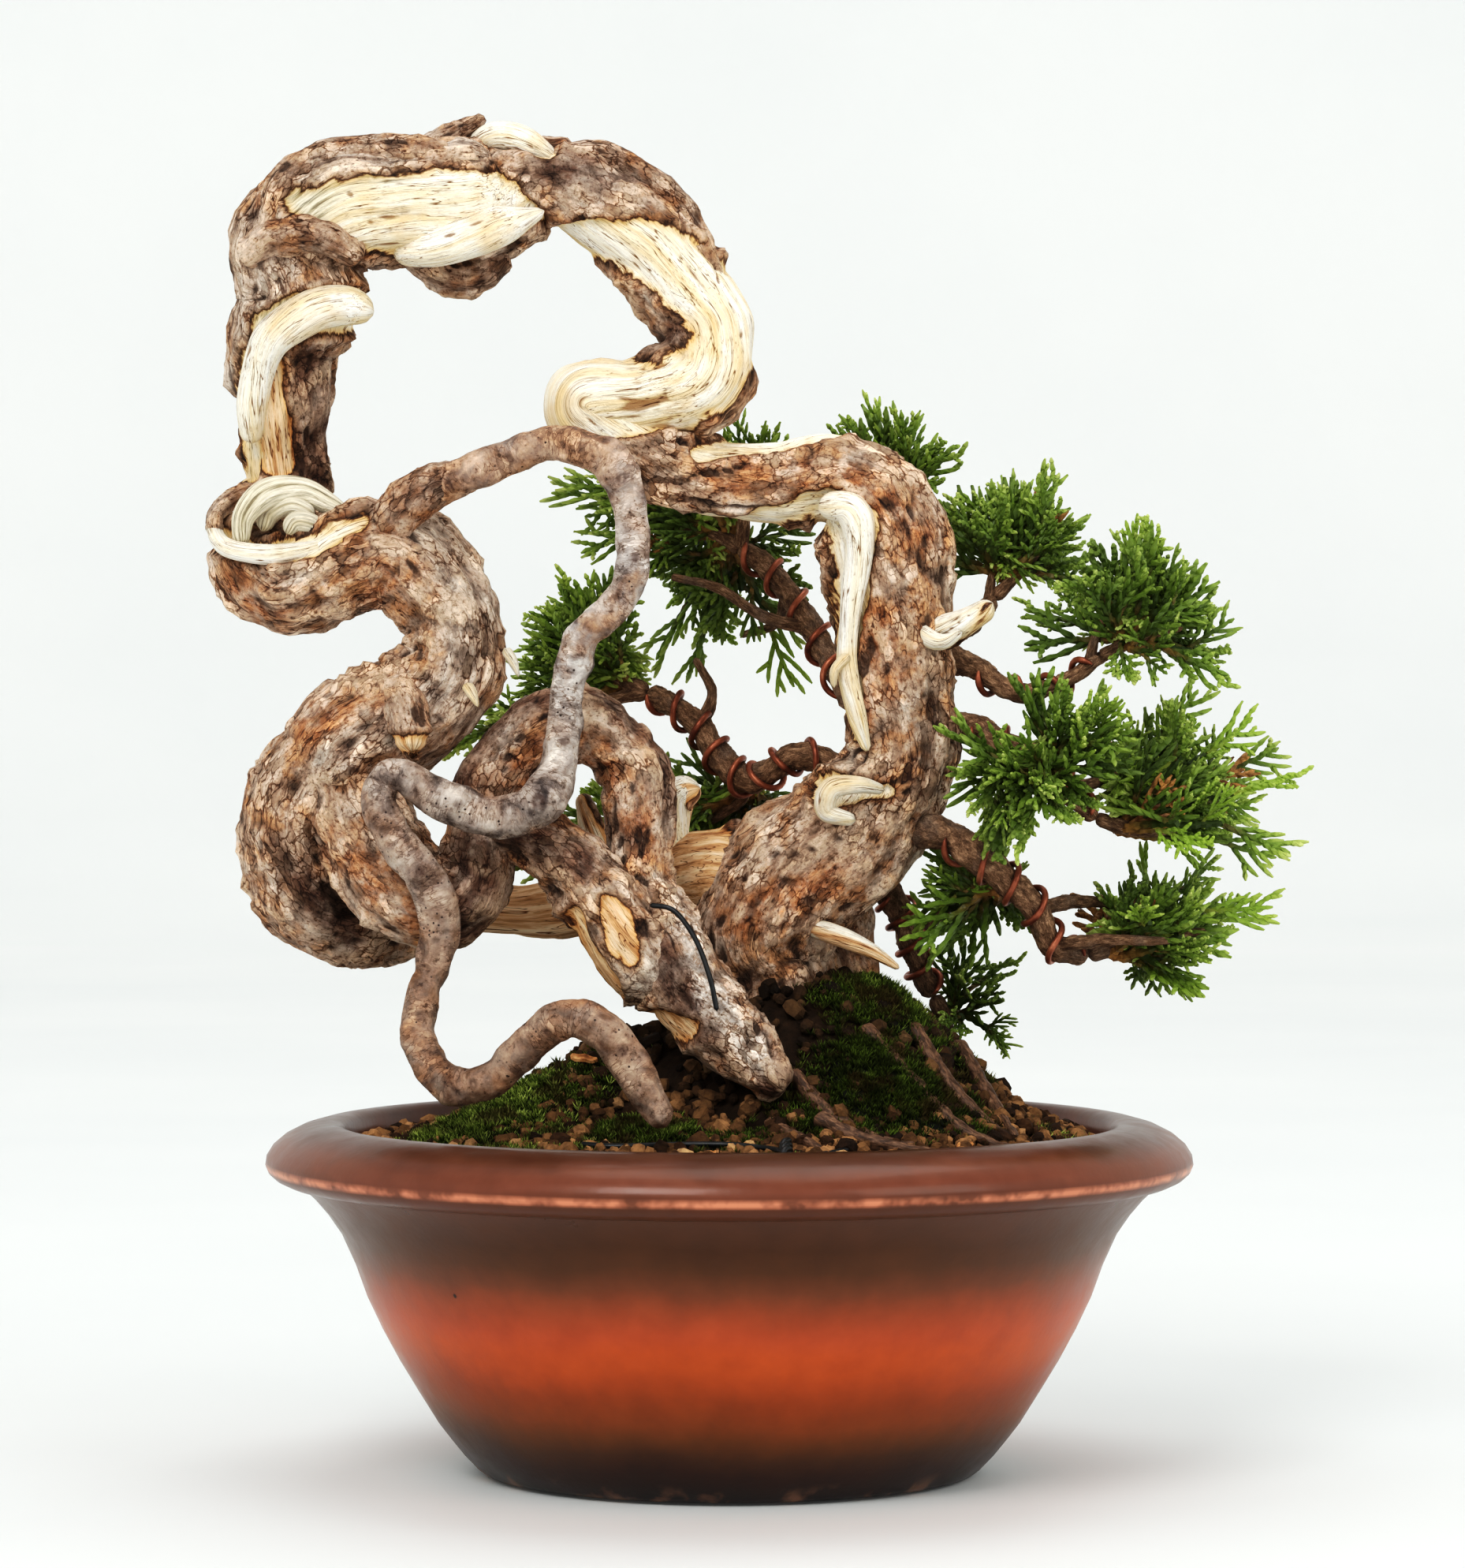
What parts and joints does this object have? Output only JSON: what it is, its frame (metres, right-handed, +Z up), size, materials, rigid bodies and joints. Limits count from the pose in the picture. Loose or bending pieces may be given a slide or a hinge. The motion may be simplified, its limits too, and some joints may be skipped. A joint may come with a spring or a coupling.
{
  "type": "bonsai tree in a pot",
  "caption": "Small juniper bonsai with a looping trunk, bleached dead wood and wired branches, growing in a round glazed bowl.",
  "frame": {"origin": "middle of the bowl's flat base, on the table", "axes": "+Z up; -Y towards the front from which the trunk's loops and dead wood are seen; +X towards the foliage on the right"},
  "size_m": [0.1825, 0.155, 0.2264],
  "materials": {
    "glaze": "gloss",
    "soil_granules": "matte",
    "trunk_wood": "matte",
    "root_bark": "matte",
    "branch_bark": "matte",
    "copper_wire": "satin",
    "scale_leaves": "matte",
    "moss": "matte",
    "black_wire": "satin",
    "screen_plastic": "matte",
    "chip_wood": "matte"
  },
  "bodies": {
    "root": {"aerial_root": "root_bark", "anchor_wire": "black_wire", "anchor_wire_twist": "black_wire", "bark_chip_1": "chip_wood", "bark_chip_2": "chip_wood", "bark_chip_3": "chip_wood", "bark_chip_4": "chip_wood", "bowl": "glaze", "branch_back_middle": "branch_bark", "branch_back_top": "branch_bark", "branch_back_upper": "branch_bark", "branch_low_back": "branch_bark", "branch_right_lower": "branch_bark", "branch_right_middle": "branch_bark", "branch_right_top": "branch_bark", "branch_right_upper": "branch_bark", "drain_screen_1": "screen_plastic", "drain_screen_2": "screen_plastic", "drain_screen_3": "screen_plastic", "foliage_back_lower": "scale_leaves", "foliage_back_middle": "scale_leaves", "foliage_back_top": "scale_leaves", "foliage_back_upper": "scale_leaves", "foliage_right_front": "scale_leaves", "foliage_right_inner": "scale_leaves", "foliage_right_lower": "scale_leaves", "foliage_right_middle": "scale_leaves", "foliage_right_top": "scale_leaves", "foliage_right_upper": "scale_leaves", "foliage_sprig": "scale_leaves", "limb_tie": "black_wire", "moss_left": "moss", "moss_middle": "moss", "moss_mound_front": "moss", "moss_mound_top": "moss", "soil": "soil_granules", "surface_root_1": "root_bark", "surface_root_2": "root_bark", "trunk": "trunk_wood", "wire_back_middle": "copper_wire", "wire_back_upper": "copper_wire", "wire_low_back": "copper_wire", "wire_right_lower": "copper_wire", "wire_right_middle": "copper_wire", "wire_right_upper": "copper_wire"}
  },
  "joints": []
}
